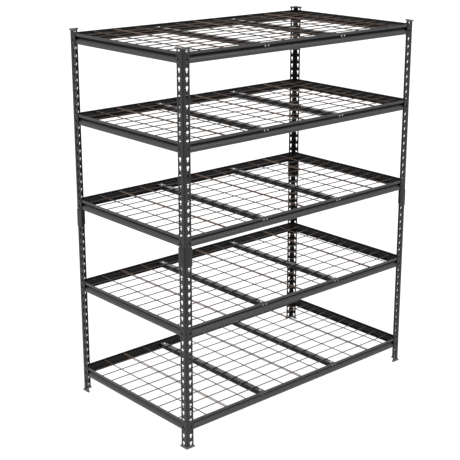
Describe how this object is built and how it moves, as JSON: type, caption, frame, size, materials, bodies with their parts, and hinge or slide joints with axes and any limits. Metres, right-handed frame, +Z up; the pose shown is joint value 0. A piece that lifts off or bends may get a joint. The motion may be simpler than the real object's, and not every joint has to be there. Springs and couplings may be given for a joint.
{
  "type": "boltless steel shelving",
  "caption": "Freestanding storage rack: keyholed steel angle posts with mid-height couplers, riveted beams hooked in at several levels, cross ties and lift-out wire decks",
  "frame": {"origin": "the middle of the footprint, on the floor that the four foot boots stand on", "axes": "X along the long side, Y along the short side with the front at -Y, Z up"},
  "size_m": [1.482, 0.836, 1.829],
  "materials": {
    "post_steel": "satin charcoal powder coat with a fine grain",
    "beam_steel": "satin charcoal powder coat",
    "tie_steel": "satin near-black powder coat",
    "deck_wire": "dark coated wire, slightly glossy",
    "boot_plastic": "moulded, matte dark grey"
  },
  "bodies": {
    "frame": {"post_front_left_lower": "post_steel", "post_front_left_upper": "post_steel", "coupler_front_left": "post_steel", "foot_front_left": "boot_plastic", "cap_front_left": "boot_plastic", "post_front_right_lower": "post_steel", "post_front_right_upper": "post_steel", "coupler_front_right": "post_steel", "foot_front_right": "boot_plastic", "cap_front_right": "boot_plastic", "post_back_right_lower": "post_steel", "post_back_right_upper": "post_steel", "coupler_back_right": "post_steel", "foot_back_right": "boot_plastic", "cap_back_right": "boot_plastic", "post_back_left_lower": "post_steel", "post_back_left_upper": "post_steel", "coupler_back_left": "post_steel", "foot_back_left": "boot_plastic", "cap_back_left": "boot_plastic"},
    "shelf1": {"shelf1_beam_front": "beam_steel", "shelf1_beam_back": "beam_steel", "shelf1_beam_left": "beam_steel", "shelf1_beam_right": "beam_steel", "shelf1_tie_left": "tie_steel", "shelf1_tie_right": "tie_steel"},
    "deck1": {"shelf1_wire_deck": "deck_wire"},
    "shelf2": {"shelf2_beam_front": "beam_steel", "shelf2_beam_back": "beam_steel", "shelf2_beam_left": "beam_steel", "shelf2_beam_right": "beam_steel", "shelf2_tie_left": "tie_steel", "shelf2_tie_right": "tie_steel"},
    "deck2": {"shelf2_wire_deck": "deck_wire"},
    "shelf3": {"shelf3_beam_front": "beam_steel", "shelf3_beam_back": "beam_steel", "shelf3_beam_left": "beam_steel", "shelf3_beam_right": "beam_steel", "shelf3_tie_left": "tie_steel", "shelf3_tie_right": "tie_steel"},
    "deck3": {"shelf3_wire_deck": "deck_wire"},
    "shelf4": {"shelf4_beam_front": "beam_steel", "shelf4_beam_back": "beam_steel", "shelf4_beam_left": "beam_steel", "shelf4_beam_right": "beam_steel", "shelf4_tie_left": "tie_steel", "shelf4_tie_right": "tie_steel"},
    "deck4": {"shelf4_wire_deck": "deck_wire"},
    "shelf5": {"shelf5_beam_front": "beam_steel", "shelf5_beam_back": "beam_steel", "shelf5_beam_left": "beam_steel", "shelf5_beam_right": "beam_steel", "shelf5_tie_left": "tie_steel", "shelf5_tie_right": "tie_steel"},
    "deck5": {"shelf5_wire_deck": "deck_wire"}
  },
  "joints": [
    {"name": "shelf1_lift", "type": "slide", "parent": "frame", "child": "shelf1", "axis": [0, 0, 1], "range_m": [0, 0.009]},
    {"name": "deck1_lift_out", "type": "slide", "parent": "shelf1", "child": "deck1", "axis": [0, 0, 1], "range_m": [0, 0.3]},
    {"name": "shelf2_lift", "type": "slide", "parent": "frame", "child": "shelf2", "axis": [0, 0, 1], "range_m": [0, 0.009]},
    {"name": "deck2_lift_out", "type": "slide", "parent": "shelf2", "child": "deck2", "axis": [0, 0, 1], "range_m": [0, 0.3]},
    {"name": "shelf3_lift", "type": "slide", "parent": "frame", "child": "shelf3", "axis": [0, 0, 1], "range_m": [0, 0.009]},
    {"name": "deck3_lift_out", "type": "slide", "parent": "shelf3", "child": "deck3", "axis": [0, 0, 1], "range_m": [0, 0.3]},
    {"name": "shelf4_lift", "type": "slide", "parent": "frame", "child": "shelf4", "axis": [0, 0, 1], "range_m": [0, 0.009]},
    {"name": "deck4_lift_out", "type": "slide", "parent": "shelf4", "child": "deck4", "axis": [0, 0, 1], "range_m": [0, 0.3]},
    {"name": "shelf5_lift", "type": "slide", "parent": "frame", "child": "shelf5", "axis": [0, 0, 1], "range_m": [0, 0.009]},
    {"name": "deck5_lift_out", "type": "slide", "parent": "shelf5", "child": "deck5", "axis": [0, 0, 1], "range_m": [0, 0.3]}
  ]
}
